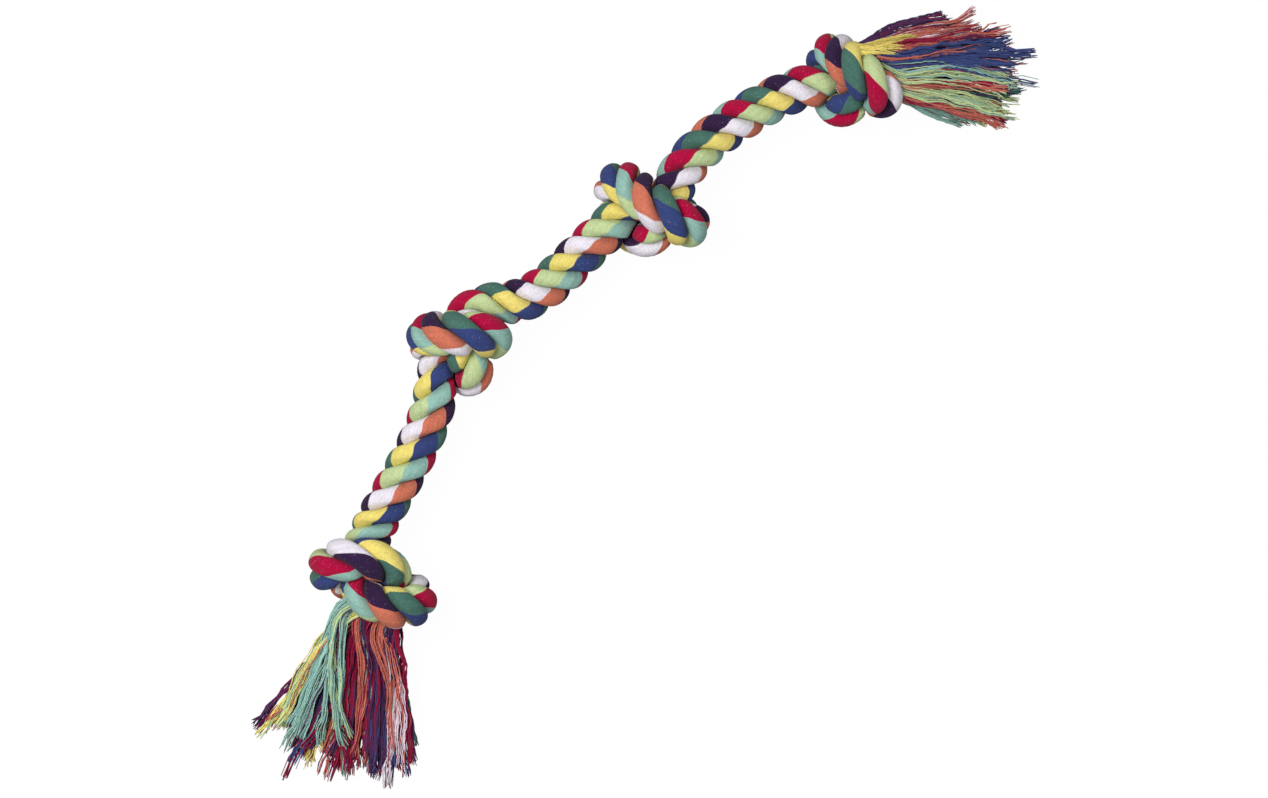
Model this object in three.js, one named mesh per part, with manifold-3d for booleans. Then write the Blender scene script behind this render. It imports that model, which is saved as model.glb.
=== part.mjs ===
// Rope dog toy of three-strand cotton rope with four overhand knots and two frayed ends.
// Millimetres, +Z up. It lies on a floor, and +X runs from the first tassel to the second.
import * as THREE from "three";
import { mergeVertices } from "three/addons/utils/BufferGeometryUtils.js";
import Module from "manifold-3d";

const wasm = await Module();
wasm.setup();

// Rope
const ROPE_DIAMETER = 24;
const ROPE_RADIUS = ROPE_DIAMETER / 2;
const LAY_PITCH = 41.5;
const STRANDS = 3;
// A strand's section as shares of the rope's radius, in the plane square to the rope
const STRAND_SEAT_SHARE = 0.6;
const STRAND_CROWN_SHARE = 0.4;
const STRAND_HEART_SHARE = 0.54;
const STRAND_HALF_WIDTH_SHARE = 0.56;
const STRAND_SIDES = 8;
const RING_STEP = 5;

// Clearances
const STRAND_GAP = 0.35;
const PASS_GAP = 0.4;
const END_GAP = 0.32;
// Where the rope crosses itself it flattens to this share of half the way to the other pass
const PRESS_SHARE = 0.97;
// Inside a bend it flattens to this share of the bend's radius
const BEND_SHARE = 0.85;
const FLAT_CUT = ROPE_DIAMETER / 10;
const FLOOR_SPAN = 1000;
const FLOOR_DEPTH = 50;

// Knots: middle in plan, heading and roll of the knot's own axis in degrees,
// distance between touching passes, and how far its tails run from its middle
const KNOTS = [
  { name: "knot_1", x: -167.1, y: 28.5, heading: 46, roll: 200, draw: 16.2, tail: 15 },
  { name: "knot_2", x: -43.1, y: 85.8, heading: 21, roll: 284, draw: 15, tail: 12 },
  { name: "knot_3", x: 74.6, y: 65.6, heading: -9, roll: 316, draw: 15.8, tail: 14 },
  { name: "knot_4", x: 196.8, y: 37.9, heading: -20, roll: 298, draw: 13.8, tail: 14 },
];
// The rope runs straight between these two points of each stretch, in plan
const STRETCHES = [
  { name: "stretch_1", from: [-131.5, 52.8], to: [-76.1, 72.3] },
  { name: "stretch_2", from: [-12, 75], to: [40.8, 73.8] },
  { name: "stretch_3", from: [106.8, 63.3], to: [166.4, 52.5] },
];
const STRETCH_HEIGHT = 27;
// Each stretch bends sideways at one share of its length and up or down at another
const HINGE_SHARES = { sideways: 0.27, upright: 0.73 };
// Places where the second strand lies uppermost, in plan
const UPPERMOST = [
  [-140.5, 49.6],
  [-61.6, 77.6],
  [-15.2, 75.5],
  [27.5, 74.5],
  [122.7, 60.3],
  [161.3, 53.3],
];
// Tying turned the lay in the knots: from and to along the rope, and degrees that it turned back
const TURNED_BACK = [
  [-120, 110, -80],
  [85, 228, 170],
  [325, 465, 85],
  [625, 765, 30],
  [890, 1200, -75],
];
const TURN_FADE = 1.6;

// Tassels: length and heading in plan from the rope's end to the middle of the tip, height, breadth
// and depth at the tip, and length of the laid rope that the tassel grows from
const TASSELS = [
  { name: "tassel_1", length: 78.9, heading: -155.9, height: 7.8, breadth: 92, depth: 17, root: 8 },
  { name: "tassel_2", length: 71.7, heading: -48.4, height: 6.9, breadth: 62, depth: 18, root: 8 },
];
// Each tassel swings about a point this far beyond the rope's end
const SWING_REACH = 8;
const ROOT_BREADTH = 24;
const ROOT_DEPTH = 22;
const BUNCH_GAP = 0.7;
const BUNCH_SIDES = 8;
const SPINE_POINTS = 60;
const BUNCH_STEPS = 8;
const SPREAD_POWER = 0.9;
// The fan's section is thinner at its edges, and each bunch's tip is narrower, by these shares
const EDGE_THINNING_SHARE = 0.6;
const TIP_SHARE = 0.7;
// Upper and lower layer of bunches, left to right as they leave the knot, with their lengths as shares
const BUNCHES = [
  {
    upper: [["white", 0.93], ["purple", 1], ["orange", 0.95], ["mint", 0.98], ["lime", 0.9]],
    lower: [["red", 0.97], ["navy", 0.93], ["green", 0.98], ["yellow", 0.94]],
  },
  {
    upper: [["orange", 0.8], ["yellow", 0.9], ["navy", 1], ["lime", 0.95], ["mint", 0.93]],
    lower: [["purple", 0.86], ["white", 0.9], ["green", 0.95], ["red", 0.98]],
  },
];

// Colours of the nine plies; each strand is named by the ply in its middle
const COLOURS = {
  white: "#e1dae6",
  orange: "#dc7350",
  purple: "#3c1e55",
  yellow: "#ebde6e",
  navy: "#2d3c7d",
  green: "#327864",
  lime: "#b9d78c",
  mint: "#8cc8be",
  red: "#c30a41",
};
const STRAND_NAMES = ["white", "yellow", "lime"];
const COTTON_ROUGHNESS = 0.92;

// The knot is tied loosely from a formula and drawn tight
const TIE_POINTS = 110;
const TIE_ROUNDS = 1800;
const TIE_HALF_LENGTH = 3.4;
const TIE_TENSION = 0.5;
const TIE_STIFFNESS = 0.02;
const TIE_SPAN = 2.1;
const TIE_START_POINTS = 400;
const TIE_SHARES = { along: 0.13, across: 0.62, up: 0.42 };
const TIE_NEIGHBOURS = 1.5;
const TIE_CENTRE_TRIM = 25;
const TIE_TAIL_REACH = 0.5;
const PLACED_TAIL_POINTS = 8;
const BEND_POINTS = 12;
const STRAIGHT_POINTS = 16;
const STRAIGHT_RISE_SHARE = 0.4;

// The free runs between the knots settle into their easiest shape
const SETTLE_STEP = 2.5;
const SETTLE_ROUNDS = 300;
const SETTLE_TENSION = 0.15;
const SETTLE_STIFFNESS = 0.08;
const SETTLE_CONTACT = 17;
const SETTLE_PUSH = 0.15;
const SETTLE_NEIGHBOURS = 26;
const LOOSE_TAIL = 8;
const HELD_END_POINTS = 4;

const ROUTE_STEP = 1.5;
const ROUTE_SMOOTHING = 3;
const OTHER_PASS = 24;
const REACH_RANGE = 2.6 * ROPE_RADIUS;
const HERMITE_PULL = 0.9;
const FULL_TURN = 2 * Math.PI;
const STRAND_ANGLE = FULL_TURN / STRANDS;

const lerp = THREE.MathUtils.lerp;
const radians = THREE.MathUtils.degToRad;

// The same line with its points at even distances
function evenly(points, count) {
  const travelled = [0];
  for (let i = 1; i < points.length; i++) {
    travelled.push(travelled[i - 1] + points[i].distanceTo(points[i - 1]));
  }
  const total = travelled[travelled.length - 1];
  const even = [];
  let at = 0;
  for (let k = 0; k < count; k++) {
    const wanted = (total * k) / (count - 1);
    while (at < points.length - 2 && travelled[at + 1] < wanted) at++;
    const part = (wanted - travelled[at]) / (travelled[at + 1] - travelled[at] || 1);
    even.push(points[at].clone().lerp(points[at + 1], Math.min(part, 1)));
  }
  return even;
}

function lengthOf(points) {
  return points.slice(1).reduce((sum, p, i) => sum + p.distanceTo(points[i]), 0);
}

// An overhand knot in a cord of diameter 1: a loose one, shortened while its passes push apart
function tieKnot() {
  let line = [];
  for (let k = 0; k < TIE_START_POINTS; k++) {
    const t = lerp(-TIE_SPAN, TIE_SPAN, k / (TIE_START_POINTS - 1));
    const along = (t ** 5 - 10 * t) * TIE_SHARES.along;
    const across = -(t ** 3 - 3 * t) * TIE_SHARES.across;
    const up = (t ** 4 - 4 * t ** 2 + 1) * TIE_SHARES.up;
    line.push(new THREE.Vector3(along, across, up));
  }
  const start = line[0].clone();
  const finish = line[line.length - 1].clone();
  line.forEach((p) => (p.z -= start.z));
  const reach = TIE_HALF_LENGTH + TIE_TAIL_REACH;
  line.unshift(new THREE.Vector3(-reach, start.y / 2, 0));
  line.push(new THREE.Vector3(reach, finish.y / 2, 0));
  line = evenly(line, TIE_POINTS);
  const last = TIE_POINTS - 1;
  for (let round = 0; round < TIE_ROUNDS; round++) {
    const next = line.map((p) => p.clone());
    for (let i = 1; i < last; i++) {
      for (const axis of ["x", "y", "z"]) {
        const pull = line[i - 1][axis] + line[i + 1][axis] - 2 * line[i][axis];
        next[i][axis] += (TIE_TENSION * pull) / 2;
        if (i > 1 && i < last - 1) {
          const outer = line[i - 2][axis] + line[i + 2][axis];
          const inner = line[i - 1][axis] + line[i + 1][axis];
          next[i][axis] -= TIE_STIFFNESS * (outer - 4 * inner + 6 * line[i][axis]);
        }
      }
    }
    next[0].set(-TIE_HALF_LENGTH, next[2].y, next[2].z);
    next[last].set(TIE_HALF_LENGTH, next[last - 2].y, next[last - 2].z);
    next[1].set(next[1].x, next[2].y, next[2].z);
    next[last - 1].set(next[last - 1].x, next[last - 2].y, next[last - 2].z);
    const apart = Math.max(3, Math.floor(TIE_NEIGHBOURS / line[0].distanceTo(line[1])));
    const pushes = next.map(() => ({ sum: new THREE.Vector3(), count: 0 }));
    for (let i = 0; i <= last; i++) {
      for (let j = i + apart + 1; j <= last; j++) {
        const between = next[i].clone().sub(next[j]);
        const distance = between.length();
        if (distance < 1) {
          between.multiplyScalar((1 - distance) / distance);
          pushes[i].sum.add(between);
          pushes[j].sum.sub(between);
          pushes[i].count++;
          pushes[j].count++;
        }
      }
    }
    pushes.forEach((push, i) => next[i].addScaledVector(push.sum, 0.5 / Math.max(push.count, 1)));
    line = evenly(next, TIE_POINTS);
  }
  const middle = new THREE.Box3().setFromPoints(line.slice(TIE_CENTRE_TRIM, -TIE_CENTRE_TRIM));
  const centre = middle.getCenter(new THREE.Vector3());
  return line.map((p) => new THREE.Vector3(p.x, p.y - centre.y, p.z - centre.z));
}

// The knot at its place: rolled about its axis, turned to its heading, and set down on the floor
function placeKnot(template, knot) {
  const line = template
    .map((p) => p.clone().multiplyScalar(knot.draw));
  const first = line.findIndex((p) => Math.abs(p.x) < knot.tail);
  const end = line.length - [...line].reverse().findIndex((p) => Math.abs(p.x) < knot.tail);
  const roll = new THREE.Matrix4().makeRotationX(radians(knot.roll));
  const turn = new THREE.Matrix4().makeRotationZ(radians(knot.heading));
  const placed = line.slice(first, end).map((p) => p.applyMatrix4(roll).applyMatrix4(turn));
  const core = new THREE.Box3().setFromPoints(placed.slice(PLACED_TAIL_POINTS, -PLACED_TAIL_POINTS));
  const centre = core.getCenter(new THREE.Vector3());
  const lowest = Math.min(...placed.map((p) => p.z));
  const rise = ROPE_RADIUS - FLAT_CUT - lowest;
  return placed.map((p) => new THREE.Vector3(p.x + knot.x - centre.x, p.y + knot.y - centre.y, p.z + rise));
}

// A smooth run from one point and heading to another
function bridge(a, headingA, b, headingB, count) {
  const pull = a.distanceTo(b) * HERMITE_PULL;
  const points = [];
  for (let k = 0; k < count; k++) {
    const t = k / (count - 1);
    points.push(
      new THREE.Vector3()
        .addScaledVector(a, 2 * t ** 3 - 3 * t ** 2 + 1)
        .addScaledVector(headingA, (t ** 3 - 2 * t ** 2 + t) * pull)
        .addScaledVector(b, -2 * t ** 3 + 3 * t ** 2)
        .addScaledVector(headingB, (t ** 3 - t ** 2) * pull),
    );
  }
  return points;
}

const heading = (a, b) => b.clone().sub(a).normalize();

function nearestIndex(line, point) {
  const gaps = line.map((p) => p.distanceTo(point));
  return gaps.indexOf(Math.min(...gaps));
}

function nearestInPlan(line, [x, y]) {
  const gaps = line.map((p) => Math.hypot(p.x - x, p.y - y));
  return gaps.indexOf(Math.min(...gaps));
}

// The free runs shorten and straighten while they keep off the other passes; the knots hold still
function settle(line, held) {
  const step = lengthOf(line) / (line.length - 1);
  const apart = Math.floor(SETTLE_NEIGHBOURS / step);
  for (let round = 0; round < SETTLE_ROUNDS; round++) {
    const next = line.map((p) => p.clone());
    for (let i = 2; i < line.length - 2; i++) {
      if (held[i]) continue;
      const outer = line[i - 2].clone().add(line[i + 2]);
      const inner = line[i - 1].clone().add(line[i + 1]);
      next[i].addScaledVector(inner, SETTLE_TENSION / 2 + 4 * SETTLE_STIFFNESS);
      next[i].addScaledVector(outer, -SETTLE_STIFFNESS);
      next[i].addScaledVector(line[i], -SETTLE_TENSION - 6 * SETTLE_STIFFNESS);
      const push = new THREE.Vector3();
      let touching = 0;
      line.forEach((other, j) => {
        const distance = line[i].distanceTo(other);
        if (Math.abs(i - j) <= apart || distance >= SETTLE_CONTACT) return;
        push.addScaledVector(line[i].clone().sub(other), (SETTLE_CONTACT - distance) / distance);
        touching++;
      });
      next[i].addScaledVector(push, SETTLE_PUSH / Math.max(touching, 1));
    }
    line = next;
  }
  return line;
}

// The rope's centre line from the first tassel's root to the second's, with its landmarks
function layRope() {
  const template = tieKnot();
  const knots = KNOTS.map((knot) => placeKnot(template, knot));
  const line = [];
  const firstOut = heading(knots[0][1], knots[0][0]);
  line.push(knots[0][0].clone().addScaledVector(firstOut, TASSELS[0].root));
  knots.forEach((knot, i) => {
    line.push(...knot);
    if (i === knots.length - 1) return;
    const after = knots[i + 1];
    const { from, to } = STRETCHES[i];
    const out = knot[knot.length - 1];
    const into = after[0];
    const q = new THREE.Vector3(...from, lerp(out.z, STRETCH_HEIGHT, STRAIGHT_RISE_SHARE));
    const r = new THREE.Vector3(...to, lerp(into.z, STRETCH_HEIGHT, STRAIGHT_RISE_SHARE));
    const straight = heading(q, r);
    line.push(
      ...bridge(out, heading(knot[knot.length - 2], out), q, straight, BEND_POINTS).slice(1),
      ...bridge(q, straight, r, straight, STRAIGHT_POINTS).slice(1),
      ...bridge(r, straight, into, heading(into, after[1]), BEND_POINTS).slice(1, -1),
    );
  });
  const lastKnot = knots[knots.length - 1];
  const lastEnd = lastKnot[lastKnot.length - 1];
  const lastOut = heading(lastKnot[lastKnot.length - 2], lastEnd);
  line.push(lastEnd.clone().addScaledVector(lastOut, TASSELS[1].root));

  let coarse = evenly(line, Math.floor(lengthOf(line) / SETTLE_STEP) + 1);
  const held = coarse.map((p, i) => i < HELD_END_POINTS || i >= coarse.length - HELD_END_POINTS);
  const loose = Math.floor(LOOSE_TAIL / SETTLE_STEP);
  for (const knot of knots) {
    const start = nearestIndex(coarse, knot[0]) + loose;
    const end = nearestIndex(coarse, knot[knot.length - 1]) - loose;
    held.fill(true, start, end + 1);
  }
  for (const { from, to } of STRETCHES) {
    held[nearestInPlan(coarse, [(from[0] + to[0]) / 2, (from[1] + to[1]) / 2])] = true;
  }
  coarse = settle(coarse, held);

  const route = evenly(coarse, Math.floor(lengthOf(coarse) / ROUTE_STEP) + 1);
  for (let round = 0; round < ROUTE_SMOOTHING; round++) {
    const before = route.map((p) => p.clone());
    for (let i = 1; i < route.length - 1; i++) {
      route[i].multiplyScalar(0.5).addScaledVector(before[i - 1], 0.25).addScaledVector(before[i + 1], 0.25);
    }
  }
  const bounds = knots.map((knot) => [nearestIndex(route, knot[0]), nearestIndex(route, knot[knot.length - 1])]);
  return { route, bounds };
}

const { route, bounds } = layRope();
const routeStep = lengthOf(route) / (route.length - 1);

// Frames carried along the rope without turning about it
const frames = [];
{
  let upward = new THREE.Vector3(0, 0, 1);
  for (let i = 0; i < route.length; i++) {
    const a = route[Math.max(i - 1, 0)];
    const b = route[Math.min(i + 1, route.length - 1)];
    const along = heading(a, b);
    upward = upward.clone().addScaledVector(along, -upward.dot(along)).normalize();
    frames.push({ along, upward, aside: along.clone().cross(upward) });
  }
}

// Values between two route points
function at(place) {
  const i = Math.min(Math.max(Math.floor(place), 0), route.length - 2);
  const part = place - i;
  const mix = (key) => frames[i][key].clone().lerp(frames[i + 1][key], part).normalize();
  const near = part < 0.5 ? i : i + 1;
  return { near, centre: route[i].clone().lerp(route[i + 1], part), upward: mix("upward"), aside: mix("aside") };
}

// Turn of the lay along the rope: fixed where the second strand lies uppermost, even in between
const lay = [];
{
  const facing = frames.map((f) => Math.atan2(f.aside.z, f.upward.z));
  for (let i = 1; i < facing.length; i++) {
    facing[i] += FULL_TURN * Math.round((facing[i - 1] - facing[i]) / FULL_TURN);
  }
  const rate = (FULL_TURN * routeStep) / LAY_PITCH;
  const fixed = [];
  for (const [x, y] of UPPERMOST) {
    const i = nearestInPlan(route, [x, y]);
    let turn = facing[i] - STRAND_ANGLE;
    const previous = fixed[fixed.length - 1];
    if (previous) {
      const wanted = previous.turn + (i - previous.i) * rate;
      turn += FULL_TURN * Math.round((wanted - turn) / FULL_TURN);
    }
    fixed.push({ i, turn });
  }
  for (let i = 0; i < route.length; i++) {
    const next = fixed.findIndex((f) => f.i > i);
    if (next === 0) lay.push(fixed[0].turn - (fixed[0].i - i) * rate);
    else if (next < 0) lay.push(fixed[fixed.length - 1].turn + (i - fixed[fixed.length - 1].i) * rate);
    else {
      const a = fixed[next - 1];
      const b = fixed[next];
      lay.push(lerp(a.turn, b.turn, (i - a.i) / (b.i - a.i)));
    }
  }
  for (const [from, to, degrees] of TURNED_BACK) {
    const half = (to - from) / 2;
    lay.forEach((turn, i) => {
      const off = Math.abs(i * routeStep - from - half) / half;
      lay[i] = turn - radians(degrees) * THREE.MathUtils.clamp(TURN_FADE * (1 - off), 0, 1);
    });
  }
}

// How far the rope reaches from its centre line at route point i along a direction
function reachAt(i, direction) {
  let reach = Infinity;
  for (let j = 0; j < route.length; j++) {
    if (Math.abs(i - j) * routeStep <= OTHER_PASS) continue;
    const across = route[j].clone().sub(route[i]);
    const squared = across.lengthSq();
    const towards = across.dot(direction);
    if (squared > REACH_RANGE ** 2 || towards <= 0) continue;
    reach = Math.min(reach, (squared / (2 * towards)) * PRESS_SHARE - PASS_GAP);
  }
  if (i > 0 && i < route.length - 1) {
    const bend = route[i - 1].clone().add(route[i + 1]).addScaledVector(route[i], -2);
    bend.divideScalar(routeStep ** 2);
    const inward = bend.dot(direction);
    if (inward > 0) reach = Math.min(reach, BEND_SHARE / inward);
  }
  return reach;
}

// One strand's section in the plane square to the rope: a rounded lobe that fills its third
function strandSection() {
  const points = [];
  for (let k = 0; k < STRAND_SIDES; k++) {
    const turn = (FULL_TURN * k) / STRAND_SIDES;
    const high = Math.cos(turn) > 0 ? STRAND_CROWN_SHARE : STRAND_HEART_SHARE;
    const x = (STRAND_SEAT_SHARE + high * Math.cos(turn)) * ROPE_RADIUS;
    const wall = Math.tan(STRAND_ANGLE / 2) * x - STRAND_GAP;
    const y = STRAND_HALF_WIDTH_SHARE * Math.sin(turn) * ROPE_RADIUS;
    points.push([x, Math.sign(y) * Math.min(Math.abs(y), Math.max(wall, 0))]);
  }
  return points;
}

// A closed body from rings of equal counts. The first half of the sides splits one way and the
// second half the other, so that neighbouring strands twist alike where they face each other.
function loft(rings) {
  const sides = rings[0].length;
  const positions = rings.flat().flatMap((p) => [p.x, p.y, p.z]);
  const faces = [];
  for (let i = 0; i < rings.length - 1; i++) {
    for (let j = 0; j < sides; j++) {
      const k = (j + 1) % sides;
      const [a, b, c, d] = [i * sides + j, i * sides + k, (i + 1) * sides + k, (i + 1) * sides + j];
      if (j < sides / 2) faces.push(a, b, c, a, c, d);
      else faces.push(a, b, d, b, c, d);
    }
  }
  const last = (rings.length - 1) * sides;
  for (let j = 1; j < sides - 1; j++) {
    faces.push(0, j + 1, j);
    faces.push(last, last + j, last + j + 1);
  }
  const geometry = new THREE.BufferGeometry();
  geometry.setAttribute("position", new THREE.Float32BufferAttribute(positions, 3));
  geometry.setIndex(faces);
  return geometry;
}

function solid(geometry) {
  const merged = mergeVertices(geometry.index ? geometry : geometry.clone(), 1e-4);
  return new wasm.Manifold(
    new wasm.Mesh({
      numProp: 3,
      vertProperties: new Float32Array(merged.attributes.position.array),
      triVerts: new Uint32Array(merged.index.array),
    }),
  );
}

function geometryOf(body) {
  const mesh = body.getMesh();
  const geometry = new THREE.BufferGeometry();
  geometry.setAttribute("position", new THREE.Float32BufferAttribute(mesh.vertProperties, 3));
  geometry.setIndex([...mesh.triVerts]);
  return geometry;
}

// Everything below the floor is cut away, so that the knots rest on flats
const floorBlock = new THREE.BoxGeometry(FLOOR_SPAN, FLOOR_SPAN, FLOOR_DEPTH).translate(0, 0, -FLOOR_DEPTH / 2);
floorBlock.deleteAttribute("normal");
floorBlock.deleteAttribute("uv");
const underFloor = solid(floorBlock);
function restOnFloor(geometry) {
  geometry.computeBoundingBox();
  if (geometry.boundingBox.min.z >= 0) return geometry;
  return geometryOf(solid(geometry).subtract(underFloor));
}

const toy = new THREE.Group();
function addPiece(name, colour, geometry) {
  const shape = restOnFloor(geometry);
  shape.computeVertexNormals();
  const material = new THREE.MeshStandardMaterial({
    color: COLOURS[colour],
    roughness: COTTON_ROUGHNESS,
    metalness: 0,
  });
  const mesh = new THREE.Mesh(shape, material);
  mesh.name = name;
  toy.add(mesh);
}

// The three strands between two places on the route
const section = strandSection();
function addStrands(name, from, to) {
  const count = Math.ceil(((to - from) * routeStep) / RING_STEP);
  for (let strand = 0; strand < STRANDS; strand++) {
    const rings = [];
    for (let k = 0; k <= count; k++) {
      const place = lerp(from, to, k / count);
      const { near, centre, upward, aside } = at(place);
      const i = Math.min(Math.floor(place), route.length - 2);
      const turn = lerp(lay[i], lay[i + 1], place - i) + strand * STRAND_ANGLE;
      rings.push(
        section.map(([x, y]) => {
          const angle = turn + Math.atan2(y, x);
          const direction = upward.clone().multiplyScalar(Math.cos(angle)).addScaledVector(aside, Math.sin(angle));
          const radius = Math.min(Math.hypot(x, y), reachAt(near, direction));
          return centre.clone().addScaledVector(direction, radius);
        }),
      );
    }
    addPiece(`${name}_${STRAND_NAMES[strand]}_strand`, STRAND_NAMES[strand], loft(rings));
  }
}

const endGap = END_GAP / routeStep / 2;
addStrands("root_1", 0, bounds[0][0] - endGap);
KNOTS.forEach((knot, i) => {
  addStrands(knot.name, bounds[i][0] + endGap, bounds[i][1] - endGap);
  if (i < STRETCHES.length) addStrands(STRETCHES[i].name, bounds[i][1] + endGap, bounds[i + 1][0] - endGap);
});
addStrands("root_2", bounds[KNOTS.length - 1][1] + endGap, route.length - 1);

// A tassel: nine bunches of yarn in two layers that spread from the rope's end to the tip
TASSELS.forEach((tassel, which) => {
  const isFirst = which === 0;
  const rootAt = isFirst ? 0 : route.length - 1;
  const out = frames[rootAt].along.clone().multiplyScalar(isFirst ? -1 : 1);
  const root = route[rootAt].clone().addScaledVector(out, END_GAP);
  const tip = route[rootAt].clone().setZ(tassel.height);
  tip.x += tassel.length * Math.cos(radians(tassel.heading));
  tip.y += tassel.length * Math.sin(radians(tassel.heading));
  const flat = tip.clone().sub(root).setZ(0).normalize();
  const spine = evenly(bridge(root, out, tip, flat, SPINE_POINTS), BUNCH_STEPS * 2 + 1);
  const place = (share) => {
    const step = share * (spine.length - 1);
    const i = Math.min(Math.floor(step), spine.length - 2);
    const centre = spine[i].clone().lerp(spine[i + 1], step - i);
    const before = spine[Math.max(Math.round(step) - 1, 0)];
    const after = spine[Math.min(Math.round(step) + 1, spine.length - 1)];
    const along = share === 0 ? out.clone() : heading(before, after);
    const across = new THREE.Vector3(0, 0, 1).cross(along).normalize();
    return { centre, across, up: along.clone().cross(across).normalize() };
  };
  const layers = [BUNCHES[which].upper, BUNCHES[which].lower];
  layers.forEach((layer, below) => {
    layer.forEach(([colour, share], k) => {
      const rings = [];
      for (let step = 0; step <= BUNCH_STEPS; step++) {
        const t = (share * step) / BUNCH_STEPS;
        const { centre, across, up } = place(t);
        const spread = lerp(ROOT_BREADTH, tassel.breadth, t ** SPREAD_POWER);
        const depth = lerp(ROOT_DEPTH, tassel.depth, t);
        const low = lerp(1, -1, k / layer.length);
        const high = lerp(1, -1, (k + 1) / layer.length);
        const middle = (low + high) / 2;
        const round = Math.sqrt(1 - EDGE_THINNING_SHARE * middle ** 2);
        const halfWide = (Math.abs(high - low) * spread) / 4 - BUNCH_GAP / 2;
        const halfHigh = (depth * round) / 4 - BUNCH_GAP / 2;
        const taper = step === BUNCH_STEPS ? TIP_SHARE : 1;
        const ring = [];
        for (let side = 0; side < BUNCH_SIDES; side++) {
          const turn = (FULL_TURN * (side + 0.5)) / BUNCH_SIDES;
          const x = (middle * spread) / 2 + halfWide * taper * Math.cos(turn);
          const z = (below ? -1 : 1) * ((depth * round) / 4) + halfHigh * taper * Math.sin(turn);
          ring.push(centre.clone().addScaledVector(across, x).addScaledVector(up, z));
        }
        rings.push(ring);
      }
      addPiece(`${tassel.name}_${colour}_bunch`, colour, loft(rings));
    });
  });
});

// Least distance between separate passes of the rope's surface, measured on the sections' points
{
  let least = Infinity;
  const surface = route.map((centre, i) => {
    const { upward, aside } = frames[i];
    const points = [];
    for (let k = 0; k < 24; k++) {
      const angle = (FULL_TURN * k) / 24;
      const direction = upward.clone().multiplyScalar(Math.cos(angle)).addScaledVector(aside, Math.sin(angle));
      points.push(centre.clone().addScaledVector(direction, Math.min(ROPE_RADIUS, reachAt(i, direction))));
    }
    return points;
  });
  for (let i = 0; i < route.length; i++) {
    for (let j = i + 1; j < route.length; j++) {
      if ((j - i) * routeStep <= OTHER_PASS || route[i].distanceTo(route[j]) > 2.5 * ROPE_RADIUS) continue;
      for (const p of surface[i]) for (const q of surface[j]) least = Math.min(least, p.distanceTo(q));
    }
  }
  console.log(`rope ${lengthOf(route).toFixed(0)} mm long, least gap between its passes ${least.toFixed(2)} mm`);
}

const extent = new THREE.Box3().setFromObject(toy);
const size = extent.getSize(new THREE.Vector3());
console.log(`size ${size.x.toFixed(1)} x ${size.y.toFixed(1)} x ${size.z.toFixed(1)} mm`);
const middle = extent.getCenter(new THREE.Vector3());
toy.position.set(-middle.x, -middle.y, -extent.min.z);
console.log(`moved by ${toy.position.toArray().map((value) => value.toFixed(3)).join(", ")} mm`);

// The pivots in the finished frame, for the record
function printPivot(name, centre, along) {
  const words = (vector, digits) => vector.toArray().map((value) => value.toFixed(digits)).join(", ");
  const level = new THREE.Vector3(0, 0, 1).cross(along).normalize();
  console.log(`${name}: pivot ${words(centre.clone().add(toy.position), 1)} mm, level axis ${words(level, 4)}`);
}
STRETCHES.forEach(({ name }, i) => {
  for (const [way, share] of Object.entries(HINGE_SHARES)) {
    const { near, centre } = at(lerp(bounds[i][1], bounds[i + 1][0], share));
    printPivot(`${name} ${way}`, centre, frames[near].along);
  }
});
const firstAlong = frames[0].along;
const lastAlong = frames[route.length - 1].along;
printPivot("tassel_1", route[0].clone().addScaledVector(firstAlong, -SWING_REACH), firstAlong);
printPivot("tassel_2", route[route.length - 1].clone().addScaledVector(lastAlong, SWING_REACH), lastAlong);

export default toy;
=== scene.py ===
"""A rope dog toy: three-strand cotton rope with four overhand knots, its two ends frayed to yarn.

The rope's route is worked out in millimetres as the solids' source works it out, and
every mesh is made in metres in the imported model's frame, +Z up.
"""
import math

import bpy
import numpy as np
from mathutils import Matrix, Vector

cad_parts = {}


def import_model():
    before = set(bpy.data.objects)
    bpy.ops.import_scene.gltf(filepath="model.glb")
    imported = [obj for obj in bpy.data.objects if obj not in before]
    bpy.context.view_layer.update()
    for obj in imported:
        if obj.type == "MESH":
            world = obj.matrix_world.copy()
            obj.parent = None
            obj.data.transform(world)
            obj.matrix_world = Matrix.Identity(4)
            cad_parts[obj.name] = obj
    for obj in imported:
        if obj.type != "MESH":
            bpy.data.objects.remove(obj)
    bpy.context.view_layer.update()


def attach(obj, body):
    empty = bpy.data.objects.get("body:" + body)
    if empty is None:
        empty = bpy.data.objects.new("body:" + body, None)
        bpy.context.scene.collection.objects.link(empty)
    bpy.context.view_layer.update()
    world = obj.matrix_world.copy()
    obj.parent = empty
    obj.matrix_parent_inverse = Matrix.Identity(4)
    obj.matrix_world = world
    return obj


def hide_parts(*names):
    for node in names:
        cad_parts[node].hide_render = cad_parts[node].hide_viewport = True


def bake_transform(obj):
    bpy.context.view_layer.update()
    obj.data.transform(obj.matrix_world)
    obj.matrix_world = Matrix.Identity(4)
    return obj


MM = 0.001
TURN = 2 * math.pi
TINY = 1e-9

# Rope, as in the solids' source
ROPE_DIAMETER = 24
ROPE_RADIUS = ROPE_DIAMETER / 2
LAY_PITCH = 41.5
STRAND_ANGLE = TURN / 3
FLAT_CUT = ROPE_DIAMETER / 10
# The middle of the laid-out toy, in the plan that the route is drawn in
TOY_MIDDLE = (10.439, 26.288)

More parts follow.
